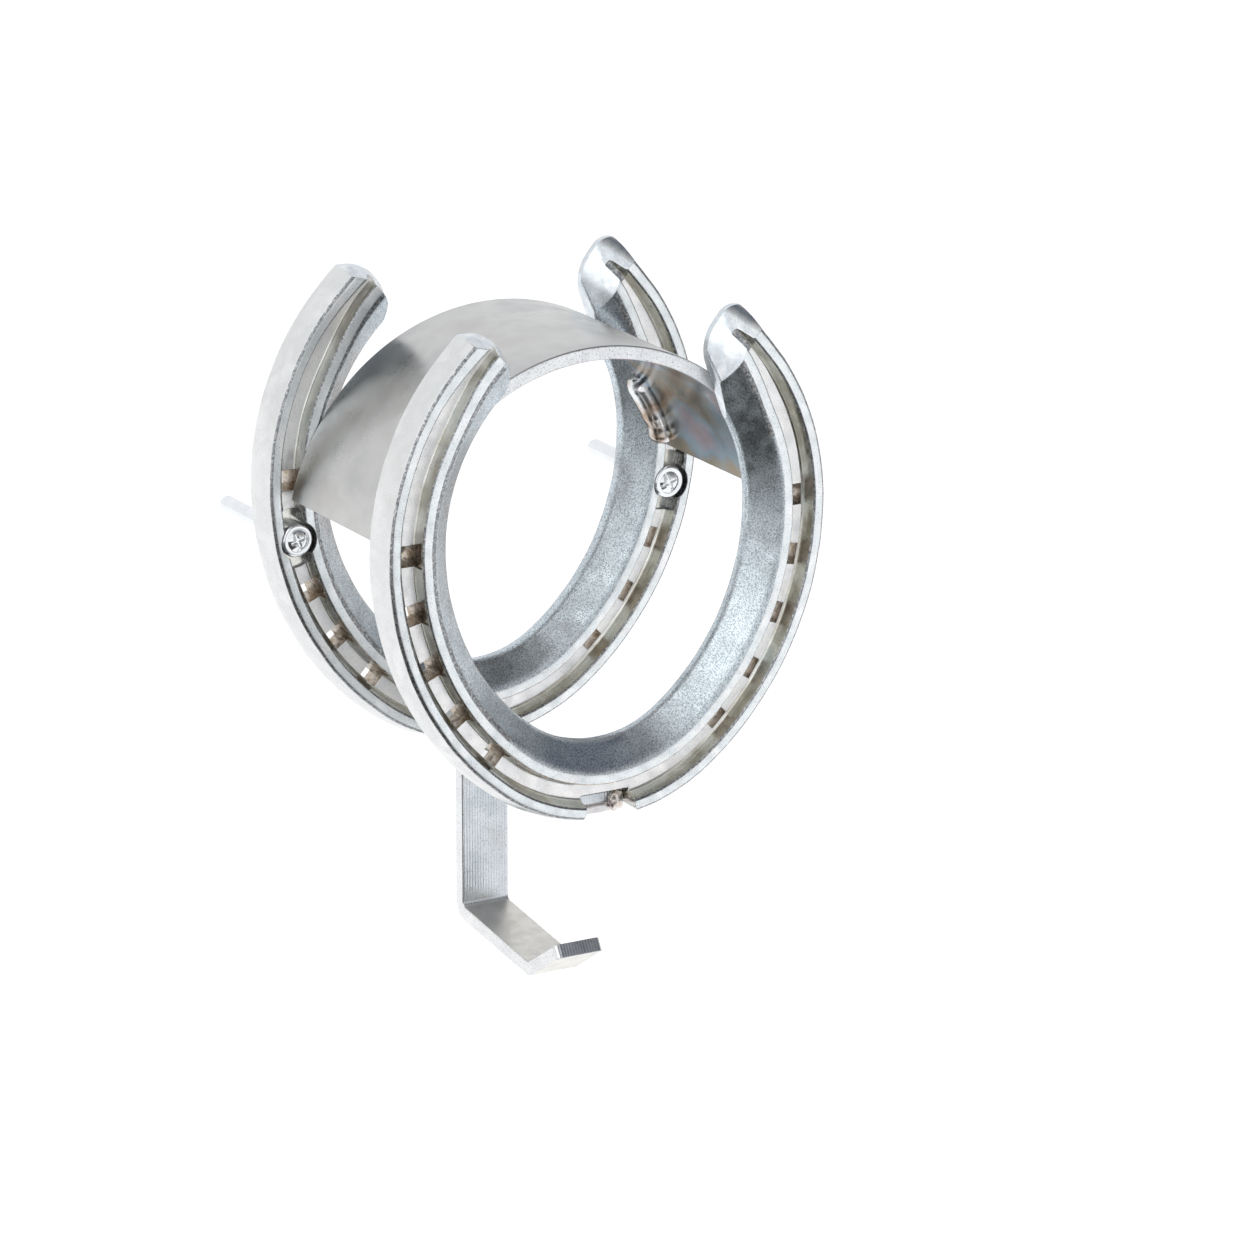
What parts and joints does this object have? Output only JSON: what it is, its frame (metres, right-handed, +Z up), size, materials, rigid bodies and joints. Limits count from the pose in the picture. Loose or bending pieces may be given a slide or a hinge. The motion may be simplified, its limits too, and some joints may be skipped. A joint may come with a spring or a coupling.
{
  "type": "bridle rack",
  "caption": "Wall rack for a bridle, welded from horseshoes joined by an arched cradle plate, with a bent strip hook below for the reins.",
  "frame": {"origin": "on the wall's face, midway between the two wall screws", "axes": "+Z up, +Y into the wall, the front of the rack facing -Y, +X to the right of someone facing the rack"},
  "size_m": [0.14, 0.115, 0.2013],
  "materials": {
    "shoe_steel": "bright zinc plate, frosted rims",
    "plate_steel": "satin zinc plate",
    "strip_steel": "satin zinc plate",
    "weld_steel": "glossy zinc plate over weld beads, heat tinted",
    "screw_steel": "bright plated"
  },
  "bodies": {
    "root": {"front_shoe": "shoe_steel", "rear_shoe": "shoe_steel", "cradle_plate": "plate_steel", "rein_hook": "strip_steel", "front_left_weld": "weld_steel", "front_right_weld": "weld_steel", "rear_left_weld": "weld_steel", "rear_right_weld": "weld_steel", "front_hook_weld": "weld_steel", "rear_hook_weld": "weld_steel", "left_screw": "screw_steel", "right_screw": "screw_steel"}
  },
  "joints": []
}
